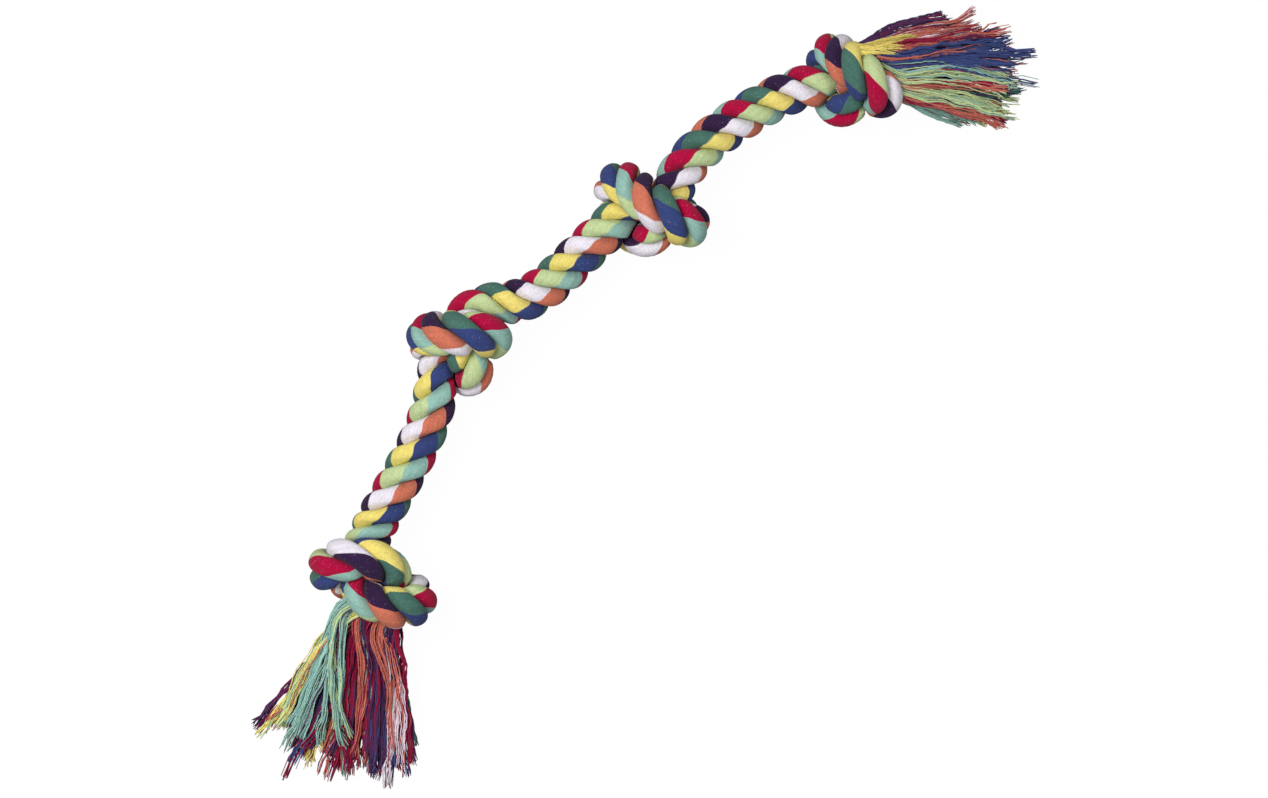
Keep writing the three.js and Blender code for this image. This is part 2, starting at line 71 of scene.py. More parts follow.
# Knots: middle in plan, heading and roll in degrees, distance between passes, length of tails
KNOTS = {
    "knot_1": dict(middle=(-167.1, 28.5), heading=46, roll=200, draw=16.2, tail=15),
    "knot_2": dict(middle=(-43.1, 85.8), heading=21, roll=284, draw=15, tail=12),
    "knot_3": dict(middle=(74.6, 65.6), heading=-9, roll=316, draw=15.8, tail=14),
    "knot_4": dict(middle=(196.8, 37.9), heading=-20, roll=298, draw=13.8, tail=14),
}
# Places in plan that the free stretches run through. The photograph bows the third one out further
# than the solids do
STRETCHES = [
    ((-131.5, 52.8), (-75.2, 70.6)),
    ((-12, 75), (40.8, 73.8)),
    ((107.8, 72.3), (167.6, 60.9)),
]
STRETCH_HEIGHT = 27
ROOT_LENGTH = 8
# Places in plan where the second strand lies uppermost
UPPERMOST = [(-140.5, 49.6), (-61.6, 77.6), (-15.2, 75.5), (27.5, 74.5), (122.7, 60.3), (161.3, 53.3)]
# Tying turned the lay in the knots: from and to along the rope, and degrees that it turned back
LAY_TURNED_BACK = [(-120, 110, -80), (85, 228, 170), (325, 465, 85), (625, 765, 30), (894, 1200, -75)]
TURN_FADE = 1.6
# A strand's plies twist against the lay. Where the strand lies uppermost at these places in plan,
# its middle ply faces this many degrees to the right of the viewer
PLY_FACES = [
    ((-140.3, 49.7), -35), ((-100.3, 63.8), -67), ((-61.4, 77.7), -92),
    ((-14.1, 75.4), 2), ((33.5, 74.4), -54), ((120.1, 60.8), 65), ((172.3, 51.3), 15),
]
# How far tying turned their twist back, in the same way
PLIES_TURNED_BACK = [(-120, 110, 110), (85, 228, 240), (325, 465, 120), (625, 765, 75), (904, 1200, -145)]

# Each strand is named by its middle ply and holds three plies
STRANDS = {
    "white": ("purple", "white", "orange"),
    "yellow": ("green", "yellow", "navy"),
    "lime": ("red", "lime", "mint"),
}
# Dyed cotton, as sRGB hex
DYES = {
    "white": "#e0dae4", "orange": "#c66f57", "purple": "#2f1a3e", "yellow": "#e3d172", "navy": "#324074",
    "green": "#456b60", "lime": "#b9ca94", "mint": "#8db5aa", "red": "#a8033a",
}
# Loose yarn's dyes: purple and navy are lifted with a painted sheen of the loose fibres, and white, orange
# and red are a little darker and duller than in the strands
YARN_DYES_WITH_PAINTED_SHEEN = {
    **DYES, "white": "#dccad6", "orange": "#bf6a5c", "purple": "#4c2d56", "navy": "#3a487c", "red": "#8b1238",
}

# A knot is tied loosely from a formula, in a cord of diameter 1, and drawn tight
TIE_POINTS = 110
TIE_ROUNDS = 1800
TIE_HALF_LENGTH = 3.4
TIE_TENSION = 0.5
TIE_STIFFNESS = 0.02
TIE_PUSH = 0.5
TIE_SPAN = 2.1
TIE_START_POINTS = 400
TIE_SHARES = (0.13, 0.62, 0.42)
TIE_TAIL_REACH = 0.5
# Points nearer along the cord than this length, or this number, don't push each other
TIE_NEIGHBOURS = 1.5
TIE_LEAST_NEIGHBOURS = 3
TIE_CENTRE_TRIM = 25
PLACED_TAIL_POINTS = 8

# The free runs between the knots settle into their easiest shape. Their points push off those of
# other passes that are nearer than the contact distance
BEND_POINTS = 12
STRAIGHT_POINTS = 16
STRAIGHT_RISE_SHARE = 0.4
HERMITE_PULL = 0.9
SETTLE_STEP = 2.5
SETTLE_ROUNDS = 300
SETTLE_TENSION = 0.15
SETTLE_STIFFNESS = 0.08
SETTLE_CONTACT = 17
SETTLE_PUSH = 0.15
SETTLE_NEIGHBOURS = 26
HELD_END_POINTS = 4
LOOSE_KNOT_POINTS = 3
ROUTE_STEP = 1.5
ROUTE_SMOOTHING = 3

# Where the rope lies against itself its strands press flat: they reach this share of the way to the
# plane halfway between two passes, less a gap. Inside a bend they reach this share of its radius
PRESS_SHARE = 0.97
PRESS_GAP = 0.15
BEND_SHARE = 0.85
REACH_DIRECTIONS = 36
REACH_RANGE = 2.6 * ROPE_RADIUS
OTHER_PASS = 24
NO_LIMIT = 1000
LEAST_TOWARDS = 1e-6
LEAST_INWARD = 1e-4

# A strand's section: its middle's distance from the rope's, its reach from there towards the rope's
# heart, half its width, and half the gap to its neighbours
STRAND_SIDES = 32
STRAND_SEAT = 7.1
STRAND_HEART = 6.5
STRAND_HALF_WIDTH = 6.75
STRAND_GAP = 0.15
# A strand begins to press flat at this share of its limit
PRESS_KNEE = 0.8
FLOOR_GAP = 0.02
# Towards the rope's two ends the strands thin out, as their yarns leave them
FRAY_LENGTH = 12
FRAYED = 0.6
# The plies' coordinates count the way along the rope in this length
PLY_UNIT = 100

# A tube is unwrapped as one strip, with this share of the map free at its sides and ends. The caps
# lie at its ends, in this share of the room there
MAP_MARGIN = 0.02
CAP_SHARE = 0.4


def unit(v):
    return v / np.linalg.norm(v)


def travelled(line):
    return np.concatenate([[0], np.cumsum(np.linalg.norm(np.diff(line, axis=0), axis=1))])


def evenly(line, count):
    """The same line with its points at even distances."""
    along = travelled(line)
    wanted = np.linspace(0, along[-1], count)
    return np.stack([np.interp(wanted, along, line[:, axis]) for axis in range(3)], 1)


def nearest(line, point):
    return int(np.argmin(((line[:, : len(point)] - np.array(point)) ** 2).sum(1)))


def hermite(t, a, slope_a, b, slope_b):
    """A smooth curve that leaves a and arrives at b with the given slopes."""
    from_a = (2 * t**3 - 3 * t**2 + 1) * a + (t**3 - 2 * t**2 + t) * slope_a
    return from_a + (-2 * t**3 + 3 * t**2) * b + (t**3 - t**2) * slope_b


def relaxed(line, tension, stiffness):
    """The line after one small step in which it shortens and its bends ease."""
    moved = line.copy()
    moved[1:-1] += tension * (line[:-2] + line[2:] - 2 * line[1:-1]) / 2
    outer, inner = line[:-4] + line[4:], line[1:-3] + line[3:-1]
    moved[2:-2] -= stiffness * (outer - 4 * inner + 6 * line[2:-2])
    return moved


def push_off(points, line, others, contact, strength):
    """How far each point is pushed off those other points of the line that are nearer than contact."""
    between = points[:, None] - line[None]
    distance = np.linalg.norm(between, axis=2) + TINY
    near = others & (distance < contact)
    push = (np.where(near, (contact - distance) / distance, 0)[..., None] * between).sum(1)
    return strength * push / np.maximum(near.sum(1), 1)[:, None]


def tie_knot():
    """An overhand knot in a cord of diameter 1, tied loosely by a formula and drawn tight."""
    along, across, up = TIE_SHARES
    t = np.linspace(-TIE_SPAN, TIE_SPAN, TIE_START_POINTS)
    line = np.stack([(t**5 - 10 * t) * along, -(t**3 - 3 * t) * across, (t**4 - 4 * t**2 + 1) * up], 1)
    line[:, 2] -= line[0, 2]
    reach = TIE_HALF_LENGTH + TIE_TAIL_REACH
    line = np.vstack([[-reach, line[0, 1] / 2, 0], line, [reach, line[-1, 1] / 2, 0]])
    line = evenly(line, TIE_POINTS)
    index = np.arange(TIE_POINTS)
    for _ in range(TIE_ROUNDS):
        drawn = relaxed(line, TIE_TENSION, TIE_STIFFNESS)
        drawn[0] = (-TIE_HALF_LENGTH, *drawn[2, 1:])
        drawn[-1] = (TIE_HALF_LENGTH, *drawn[-3, 1:])
        drawn[1, 1:], drawn[-2, 1:] = drawn[2, 1:], drawn[-3, 1:]
        neighbours = max(TIE_LEAST_NEIGHBOURS, int(TIE_NEIGHBOURS / np.linalg.norm(line[1] - line[0])))
        others = abs(index[:, None] - index[None]) > neighbours
        drawn += push_off(drawn, drawn, others, 1, TIE_PUSH)
        line = evenly(drawn, TIE_POINTS)
    core = line[TIE_CENTRE_TRIM:-TIE_CENTRE_TRIM]
    centre = (core.min(0) + core.max(0)) / 2
    return line - [0, centre[1], centre[2]]


def turned(line, degrees, first, second):
    """The line turned in the plane of two axes, from the first towards the second."""
    cos, sin = math.cos(math.radians(degrees)), math.sin(math.radians(degrees))
    made = line.copy()
    made[:, first] = cos * line[:, first] - sin * line[:, second]
    made[:, second] = sin * line[:, first] + cos * line[:, second]
    return made


def place_knot(template, knot):
    """The knot rolled about its axis, turned to its heading and set down on the floor."""
    line = template * knot["draw"]
    inside = np.nonzero(abs(line[:, 0]) < knot["tail"])[0]
    line = turned(line[inside[0] : inside[-1] + 1], knot["roll"], 1, 2)
    line = turned(line, knot["heading"], 0, 1)
    core = line[PLACED_TAIL_POINTS:-PLACED_TAIL_POINTS]
    line[:, :2] += np.array(knot["middle"]) - (core.min(0) + core.max(0))[:2] / 2
    line[:, 2] += ROPE_RADIUS - FLAT_CUT - line[:, 2].min()
    return line


def bridge(a, heading_a, b, heading_b, count):
    """A smooth run from one point and heading to another."""
    pull = np.linalg.norm(b - a) * HERMITE_PULL
    return hermite(np.linspace(0, 1, count)[:, None], a, heading_a * pull, b, heading_b * pull)


def free_run(before, after, start, end):
    """The rope's points from one knot to the next, straight between two places."""
    q = np.array([*start, (1 - STRAIGHT_RISE_SHARE) * before[-1][2] + STRAIGHT_RISE_SHARE * STRETCH_HEIGHT])
    r = np.array([*end, (1 - STRAIGHT_RISE_SHARE) * after[0][2] + STRAIGHT_RISE_SHARE * STRETCH_HEIGHT])
    straight = unit(r - q)
    out = bridge(before[-1], unit(before[-1] - before[-2]), q, straight, BEND_POINTS)[1:]
    middle = bridge(q, straight, r, straight, STRAIGHT_POINTS)[1:]
    home = bridge(r, straight, after[0], unit(after[1] - after[0]), BEND_POINTS)[1:-1]
    return np.concatenate([out, middle, home])


def root_end(end, inner):
    """The rope's very end, a root's length straight on beyond an outer knot."""
    return (end + unit(end - inner) * ROOT_LENGTH)[None]


def settle(line, held):
    """The free runs shorten and straighten while they keep off the other passes."""
    index = np.arange(len(line))
    step = np.linalg.norm(np.diff(line, axis=0), axis=1).mean()
    free = np.nonzero(~held)[0]
    others = abs(index[free][:, None] - index[None]) > int(SETTLE_NEIGHBOURS / step)
    for _ in range(SETTLE_ROUNDS):
        moved = relaxed(line, SETTLE_TENSION, SETTLE_STIFFNESS)
        moved[free] += push_off(line[free], line, others, SETTLE_CONTACT, SETTLE_PUSH)
        line = np.where(held[:, None], line, moved)
    return line


def lay_rope():
    """The rope's centre line from one tassel's root to the other's, and where each knot begins and ends."""
    template = tie_knot()
    knots = [place_knot(template, knot) for knot in KNOTS.values()]
    runs = [root_end(knots[0][0], knots[0][1]), knots[0]]
    for before, after, (start, end) in zip(knots, knots[1:], STRETCHES):
        runs += [free_run(before, after, start, end), after]
    runs.append(root_end(knots[-1][-1], knots[-1][-2]))
    line = np.concatenate(runs)

    coarse = evenly(line, int(travelled(line)[-1] / SETTLE_STEP) + 1)
    held = np.zeros(len(coarse), bool)
    held[:HELD_END_POINTS] = held[-HELD_END_POINTS:] = True
    for knot in knots:
        first, last = nearest(coarse, knot[0]), nearest(coarse, knot[-1])
        held[first + LOOSE_KNOT_POINTS : last - LOOSE_KNOT_POINTS + 1] = True
    for start, end in STRETCHES:
        held[nearest(coarse, (np.array(start) + end) / 2)] = True
    coarse = settle(coarse, held)

    route = evenly(coarse, int(travelled(coarse)[-1] / ROUTE_STEP) + 1)
    for _ in range(ROUTE_SMOOTHING):
        route[1:-1] = 0.25 * route[:-2] + 0.5 * route[1:-1] + 0.25 * route[2:]
    ends = [(nearest(route, knot[0]), nearest(route, knot[-1])) for knot in knots]
    return route, ends


def carry_frames(route):
    """Upward and aside at each point, square to the rope and carried along it without turning about it."""
    along = np.gradient(route, axis=0)
    along /= np.linalg.norm(along, axis=1)[:, None]
    upward = np.zeros_like(route)
    carried = np.array([0.0, 0.0, 1.0])
    for i, forward in enumerate(along):
        carried = unit(carried - forward * (carried @ forward))
        upward[i] = carried
    return upward, np.cross(along, upward)


def reach_limits(route, upward, aside):
    """How far the rope reaches at each point in evenly spaced directions before it meets another pass."""
    step = travelled(route)[-1] / (len(route) - 1)
    angle = np.arange(REACH_DIRECTIONS) * TURN / REACH_DIRECTIONS
    out = np.cos(angle)[:, None] * upward[:, None] + np.sin(angle)[:, None] * aside[:, None]
    index = np.arange(len(route))
    limits = np.full(out.shape[:2], float(NO_LIMIT))
    bend = np.zeros_like(route)
    bend[1:-1] = (route[:-2] + route[2:] - 2 * route[1:-1]) / step**2
    for i in range(len(route)):
        across = route[abs(index - i) * step > OTHER_PASS] - route[i]
        squared = (across**2).sum(1)
        near = squared < REACH_RANGE**2
        if near.any():
            towards = out[i] @ across[near].T
            meets = squared[near] / (2 * np.maximum(towards, LEAST_TOWARDS))
            meets = np.where(towards > LEAST_TOWARDS, meets, NO_LIMIT)
            limits[i] = meets.min(1) * PRESS_SHARE - PRESS_GAP
        inward = out[i] @ bend[i]
        radius = np.where(inward > LEAST_INWARD, BEND_SHARE / np.maximum(inward, LEAST_INWARD), NO_LIMIT)
        limits[i] = np.minimum(limits[i], radius)
    return limits


def lay_angles(route, upward, aside):
    """The first strand's direction about the rope, and how far its plies' twist has run, at each point."""
    along = travelled(route)
    facing = np.unwrap(np.arctan2(aside[:, 2], upward[:, 2]))
    rate = TURN / LAY_PITCH
    places, turns = [], []
    for spot in UPPERMOST:
        i = nearest(route, spot)
        turn = facing[i] - STRAND_ANGLE
        if places:
            wanted = turns[-1] + (along[i] - along[places[-1]]) * rate
            turn += TURN * round((wanted - turn) / TURN)
        places.append(i)
        turns.append(turn)
    lay = np.interp(along, along[places], turns)
    first, last = places[0], places[-1]
    lay[:first] = turns[0] - (along[first] - along[:first]) * rate
    lay[last:] = turns[-1] + (along[last:] - along[last]) * rate

    spots = [nearest(route, spot) for spot, _ in PLY_FACES]
    faces = [math.radians(degrees) + 2 * facing[i] for i, (_, degrees) in zip(spots, PLY_FACES)]
    plies = np.interp(along, along[spots], np.unwrap(faces))
    for angles, turned_back in ((lay, LAY_TURNED_BACK), (plies, PLIES_TURNED_BACK)):
        for start, end, degrees in turned_back:
            half = (end - start) / 2
            off = abs(along - start - half) / half
            angles -= math.radians(degrees) * np.clip(TURN_FADE * (1 - off), 0, 1)
    return lay, plies


def limit_towards(limits, angle):
    """The limit in any direction, from the nearest two of the measured ones."""
    place = (angle / TURN * REACH_DIRECTIONS) % REACH_DIRECTIONS
    low = np.floor(place).astype(int) % REACH_DIRECTIONS
    part = place - np.floor(place)
    row = np.arange(len(limits))[:, None]
    return limits[row, low] * (1 - part) + limits[row, (low + 1) % REACH_DIRECTIONS] * part


def strand_surface(rope, number):
    """One strand along the whole rope: its points, its plies' coordinates and its normals."""
    route, upward, aside, lay, plies, limits = rope
    spin = np.arange(STRAND_SIDES) * TURN / STRAND_SIDES
    x = STRAND_SEAT + np.where(np.cos(spin) > 0, ROPE_RADIUS - STRAND_SEAT, STRAND_HEART) * np.cos(spin)
    wall = np.maximum(math.tan(STRAND_ANGLE / 2) * x - STRAND_GAP, 0)
    y = np.clip(STRAND_HALF_WIDTH * np.sin(spin), -wall, wall)
    turn = lay + number * STRAND_ANGLE
    angle = turn[:, None] + np.arctan2(y, x)[None]
    wanted = np.hypot(x, y)[None] * np.ones_like(angle)

    limit = limit_towards(limits, angle)
    flattened = PRESS_KNEE + (1 - PRESS_KNEE) * np.tanh((wanted / limit - PRESS_KNEE) / (1 - PRESS_KNEE))
    radius = np.where(wanted < PRESS_KNEE * limit, wanted, limit * flattened)

    along = travelled(route)
    thinned = np.interp(along, [0, FRAY_LENGTH, along[-1] - FRAY_LENGTH, along[-1]], [FRAYED, 1, 1, FRAYED])
    radius *= thinned[:, None]
    out = np.cos(angle)[..., None] * upward[:, None] + np.sin(angle)[..., None] * aside[:, None]
    points = route[:, None] + radius[..., None] * out
    points[..., 2] = np.maximum(points[..., 2], FLOOR_GAP)

    around = spin[None] + (2 * turn - plies)[:, None]
    down = np.broadcast_to(along[:, None] / PLY_UNIT, around.shape)
    ply = np.stack([np.cos(around), np.sin(around), down], 2)

    lengthwise = np.gradient(points, axis=0)
    crosswise = np.roll(points, -1, 1) - np.roll(points, 1, 1)
    normals = np.cross(crosswise, lengthwise)
    normals /= np.maximum(np.linalg.norm(normals, axis=2), TINY)[..., None]
    return points, ply, normals


def strip_map(count, rings, sides):
    """Map places of the corners of tubes: each tube's wall is one strip, with its caps at both ends."""
    strip = np.arange(count)[:, None, None, None]
    side = (np.arange(sides)[None, None, :, None] + np.array([0, 1, 1, 0])) / sides
    ring = (np.arange(rings - 1)[None, :, None, None] + np.array([0, 0, 1, 1])) / (rings - 1)
    across = (strip + MAP_MARGIN + (1 - 2 * MAP_MARGIN) * side) / count
    down = MAP_MARGIN + (1 - 2 * MAP_MARGIN) * ring
    walls = np.stack(np.broadcast_arrays(across, down), -1).reshape(-1, 2)

    turn = np.arange(sides) * TURN / sides
    disc = np.stack([np.cos(turn) / count, np.sin(turn) * MAP_MARGIN], 1) * CAP_SHARE
    middles = np.empty((count, 2, 2))
    middles[..., 0] = (np.arange(count)[:, None] + 0.5) / count
    middles[..., 1] = MAP_MARGIN / 2, 1 - MAP_MARGIN / 2
    caps = (middles[:, :, None] + disc).reshape(-1, 2)
    return np.concatenate([walls, caps])


def tube_mesh(name, tubes):
    """A mesh of closed tubes, points given as tube, ring, side and axis, in millimetres."""
    count, rings, sides = tubes.shape[:3]
    vertices = tubes.reshape(-1, 3) * MM
    index = np.arange(count * rings * sides).reshape(count, rings, sides)
    next_side = np.roll(index, -1, 2)
    quads = np.stack([index[:, :-1], next_side[:, :-1], next_side[:, 1:], index[:, 1:]], -1)
    caps = np.stack([index[:, 0, ::-1], index[:, -1]], 1)
    loops = np.concatenate([quads.ravel(), caps.ravel()])
    sizes = np.concatenate([np.full(quads.size // 4, 4), np.full(count * 2, sides)])
    starts = np.concatenate([[0], np.cumsum(sizes)[:-1]])

    mesh = bpy.data.meshes.new(name)
    mesh.vertices.add(len(vertices))
    mesh.vertices.foreach_set("co", vertices.astype(np.float32).ravel())
    mesh.loops.add(len(loops))
    mesh.loops.foreach_set("vertex_index", loops.astype(np.int32))
    mesh.polygons.add(len(sizes))
    mesh.polygons.foreach_set("loop_start", starts.astype(np.int32))
    mesh.update(calc_edges=True)
    mesh.polygons.foreach_set("use_smooth", np.ones(len(sizes), bool))
    layer = mesh.uv_layers.new(name="OFBake")
    layer.uv.foreach_set("vector", strip_map(count, rings, sides).astype(np.float32).ravel())
    return mesh


def point_attribute(mesh, name, kind, values):
    attribute = mesh.attributes.new(name, kind, "POINT")
    field = "vector" if kind == "FLOAT_VECTOR" else "value"
    attribute.data.foreach_set(field, values.astype(np.float32).ravel())


def add_piece(mesh, material, nodes):
    mesh.materials.append(material)
    piece = bpy.data.objects.new(mesh.name, mesh)
    bpy.context.scene.collection.objects.link(piece)
    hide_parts(*nodes)
    return piece


def strand_piece(name, surface, start, end, colour, node):
    """A stretch of one strand between two rings of its surface."""
    points, ply, normals = (values[start : end + 1] for values in surface)
    mesh = tube_mesh(name, points[None])
    point_attribute(mesh, "ply", "FLOAT_VECTOR", ply)
    mesh.normals_split_custom_set_from_vertices(normals.reshape(-1, 3).tolist())
    return add_piece(mesh, MATERIALS[f"{colour} strand"], [node])


def add_strands(rope, ends):
    """Each strand in its pieces: one in each knot, two halves in each stretch and one in each root."""
    route = rope[0]
    last = len(route) - 1
    names = list(KNOTS)
    stretches = [(ends[i][1], ends[i + 1][0]) for i in range(len(STRETCHES))]
    roots = (("root_1", "knot_1", 0, ends[0][0]), ("root_2", "knot_4", ends[-1][1], last))
    for number, colour in enumerate(STRANDS):
        surface = strand_surface(rope, number)
        for i, knot in enumerate(names):
            node = f"{knot}_{colour}_strand"
            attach(strand_piece(f"{node}_yarns", surface, *ends[i], colour, node), knot)
        for i, (start, end) in enumerate(stretches):
            middle = (start + end) // 2
            stretch = f"stretch_{i + 1}"
            node = f"{stretch}_{colour}_strand"
            first = strand_piece(f"{node}_first_half", surface, start, middle, colour, node)
            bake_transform(first)
            second = strand_piece(f"{node}_second_half", surface, middle, end, colour, node)
            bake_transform(second)
        for root, knot, start, end in roots:
            node = f"{root}_{colour}_strand"
            piece = strand_piece(f"{node}_yarns", surface, start, end, colour, node)
            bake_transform(piece)


# Tassels. The fan's axis runs from the rope's end to the middle of its tips. Each lock of yarn has
# its colour, the colour mixed into it, its points as (along, to the left) of that axis where it comes
# out from the knot, on its way and at its tip, its breadth, and its layer from 0 below to about 1 on top.
FANS = {
    "tassel_1": dict(
        tip=(-250, -22.1), tip_height=7.8, knot="knot_1", root="root_1",
        locks=[
            ("purple", "red", (2, -14), (36, -24), (74, -31), 16, 0.05),
            ("red", "purple", (2, -6), (40, -10), (82, -9), 20, 0.0),
            ("purple", "navy", (2, 0), (38, 5), (80, 9), 20, 0.05),
            ("purple", "red", (2, 5), (34, 17), (74, 30), 16, 0.0),
            ("purple", "red", (7, -16), (44, -32), (81, -44), 6, 0.3),
            ("yellow", "lime", (6, -17), (51, -32), (84, -44), 4, 0.45),
            ("orange", "red", (4, -14), (49, -28), (76, -40), 6, 0.5),
            ("red", "purple", (5, -10), (50, -18), (87, -21), 12, 0.35),
            ("navy", "red", (7, -9), (49, -14), (80, -17), 8, 0.4),
            ("yellow", "yellow", (3, -9), (48, -12), (87, -11), 6, 0.2),
            ("red", "orange", (4, -7), (40, -6), (86, -1), 9, 0.4),
            ("green", "mint", (6, -5), (45, -4), (80, 5), 8, 0.3),
            ("red", "purple", (1, -10), (34, -6), (81, 9), 13, 0.55),
            ("orange", "red", (0, -14), (24, -2), (80, 13), 5, 0.75),
            ("red", "orange", (0, -9), (26, 3), (78, 17), 6, 0.6),
            ("purple", "red", (-1, -9), (25, 4), (76, 20), 8, 0.6),
            ("purple", "navy", (3, -4), (35, 8), (81, 27), 12, 0.5),
            ("navy", "red", (3, 2), (36, 18), (78, 37), 8, 0.25),
            ("orange", "orange", (3, -1), (20, 11), (59, 27), 7, 0.8),
            ("purple", "red", (2, 7), (24, 17), (46, 25), 8, 0.8),
            ("white", "white", (2, 3), (28, 17), (70, 34), 7, 0.66),
            ("green", "mint", (7, 8), (33, 24), (63, 40), 4, 0.3),
            ("red", "purple", (4, 7), (30, 22), (68, 40), 6, 0.5),
            ("lime", "yellow", (2, -20), (37, -30), (78, -33), 7, 0.8),
            ("yellow", "lime", (4, -18), (40, -31), (75, -30), 3, 0.85),
            ("mint", "mint", (-5, -21), (27, -23), (76, -24), 9, 0.9),
            ("mint", "mint", (-5, -20), (32, -14), (65, -3), 9, 0.95),
            ("lime", "mint", (0, -21), (28, -17), (69, 2), 7, 1.0),
        ],
    ),
    "tassel_2": dict(
        tip=(267.2, -20.6), tip_height=6.9, knot="knot_4", root="root_2",
        locks=[
            ("purple", "red", (0, 4), (30, 10), (60, 15), 14, 0.1),
            ("orange", "purple", (2, -2), (34, 0), (68, 2), 14, 0.05),
            ("lime", "green", (4, -8), (34, -10), (68, -13), 14, 0.05),
            ("lime", "orange", (6, -13), (32, -18), (60, -22), 12, 0.0),
            ("mint", "purple", (-3, 6), (11, 12), (32, 21), 5, 0.6),
            ("purple", "red", (-7, 9), (11, 19), (37, 29), 8, 0.6),
            ("orange", "white", (-6, 7), (16, 15), (50, 26), 8, 0.65),
            ("red", "orange", (-2, 5), (24, 12), (56, 24), 6, 0.75),
            ("purple", "orange", (0, 4), (24, 10), (60, 20), 5, 0.7),
            ("purple", "red", (1, 2), (24, 8), (63, 17), 7, 0.6),
            ("yellow", "yellow", (-9, 4), (9, 8), (33, 14), 12, 1.12),
            ("navy", "navy", (2, -1), (25, 4), (73, 12), 13, 0.8),
            ("orange", "purple", (4, 0), (28, 5), (60, 12), 2, 0.95),
            ("navy", "mint", (4, -5), (36, 1), (76, -3), 9, 0.75),
            ("white", "navy", (6, -8), (36, -1), (69, -4), 2, 0.7),
            ("lime", "mint", (6, -8), (33, -4), (72, -7), 8, 0.8),
            ("orange", "red", (6, -11), (36, -10), (73, -8), 5, 0.75),
            ("green", "navy", (6, -11), (42, -11), (75, -12), 5, 0.55),
            ("purple", "orange", (7, -12), (42, -13), (68, -15), 6, 0.5),
            ("lime", "mint", (7, -14), (37, -17), (72, -21), 8, 0.75),
            ("orange", "red", (8, -15), (39, -19), (71, -23), 5, 0.6),
            ("mint", "green", (9, -17), (29, -24), (50, -28), 5, 0.3),
            ("mint", "lime", (9, -16), (32, -23), (58, -26), 6, 0.15),
            ("orange", "red", (9, -17), (37, -21), (71, -27), 6, 0.5),
        ],
    ),
}
YARN_SEED = 24
YARN_RADIUS = 0.36
YARN_SIDES = 4
YARN_RINGS = 36
NEAR_RINGS = 8
# A lock's middle line is led on beyond its tip by this share of its length
LOCK_POINTS = 80
LOCK_LEAD_SHARE = 0.06

# A lock begins this far behind where it is first seen, under the knot, and nearer its fan's axis
HIDDEN_LENGTH = 9
HIDDEN_ASIDE_SHARE = 0.55
# Heights from the lowest layer to the topmost, where the locks leave the knot and at their tips
THROAT_HEIGHT = 22
TIP_LAYER_HEIGHT = 12
LANDING_POWER = 1.4
# Places along a lock, and its breadth there as shares of the full one
BREADTH_PLACES = [0, 0.15, 0.5, 0.9, 1.04]
BREADTH_SHARES = [0.45, 0.6, 1, 1.1, 1.3]

# The yarns hang together in small bundles, which keep a twist and a wave from the lay. A bundle lies
# within these shares of its own place across the lock, and is as long as these shares of the lock
BUNDLE_SPACING = 1.7
BUNDLE_SEATS = (0.2, 0.8)
BUNDLE_LENGTHS = (0.92, 1.06)
BUNDLE_YARNS = 11
BUNDLE_RADIUS = 1.15
# Its yarns lie within these shares of its section's area
BUNDLE_FILL = (0.02, 1)
BUNDLE_TWIST = 80
BUNDLE_RISE = 1.5
WAVE_LENGTH = LAY_PITCH / 2
WAVE_LENGTH_SHARES = (0.6, 1.5)
WAVE = 0.6
WAVE_SHARES = (0.3, 1.2)
# Yarns drift and wave in full from these shares of their length on, and tips fray over the last share
DRIFT_START_SHARE = 1 / 4
WAVE_START_SHARE = 1 / 3
TIP_SHARE = 0.2
TIP_OPENING = 1.3
TIP_ASIDE = 2
TIP_HEIGHTS = (-2, 2.5)
TIP_RAGGEDNESS = 1
# Bundles drift aside and in height. One in eight roams further
DRIFT_ASIDE = 0.8
DRIFT_HEIGHT = 0.7
ROAMING_SHARE = 0.12
ROAMING = 2.2
STEADY = 0.9

# Yarns crimp and drift in their bundle, and a few have come away and lie across the others
CRIMP = 0.22
CRIMP_LENGTHS = (4, 7)
YARN_DRIFT = 0.25
WILD_SHARE = 0.06
WILD_DRIFT = 1.3
WILD_HEIGHT = 1.6
YARN_FLOOR_GAP = 0.05
YARN_THICKNESSES = (0.8, 1.2)
YARN_TIP_SHARE = 0.75
# Share of the second colour in a bundle: the usual one, and that of the few that it takes over
MIXED_SHARE = 0.2
TAKEN_OVER_SHARE = 0.8
TAKEN_OVER_BUNDLES = 0.16
# Here and there a yarn of another colour has strayed into a lock
STRAY_SHARE = 0.09
STRAY_COLOURS = ["red", "orange", "mint", "purple"]

# Yarn is parted in two at this distance beyond the rope's end; two spans of reaches before and after it give
# points that nothing uses
SPLIT_REACH = 10
LIFT_REACHES = (1, SPLIT_REACH - 1)
SWING_REACHES = (SPLIT_REACH + 3, SPLIT_REACH + 22)
# Where a yarn's two parts meet, each one's end is drawn in to this share, inside the other
TUCKED_SHARE = 0.7


def curve_through(points):
    """A smooth curve through a few points, led on a little beyond the last."""
    points = np.array(points, float)
    at = travelled(points)
    tangents = np.gradient(points, at, axis=0)
    sampled = np.linspace(0, at[-1], LOCK_POINTS)
    k = np.clip(np.searchsorted(at, sampled, side="right") - 1, 0, len(at) - 2)
    span = (at[k + 1] - at[k])[:, None]
    t = (sampled - at[k])[:, None] / span
    curve = hermite(t, points[k], span * tangents[k], points[k + 1], span * tangents[k + 1])
    return np.vstack([curve, curve[-1] + (curve[-1] - curve[-2]) * LOCK_POINTS * LOCK_LEAD_SHARE])


def wander(t, count, size, rng):
    """A slow drift of its own for each bundle or yarn."""
    drift = np.zeros((count, t.shape[-1]))
    for k in (1, 2, 3):
        swing = rng.normal(0, size / k, (count, 1))
        drift += swing * np.sin(math.pi * k * t + rng.uniform(0, TURN, (count, 1)))
    return drift * np.clip(t / DRIFT_START_SHARE, 0, 1)


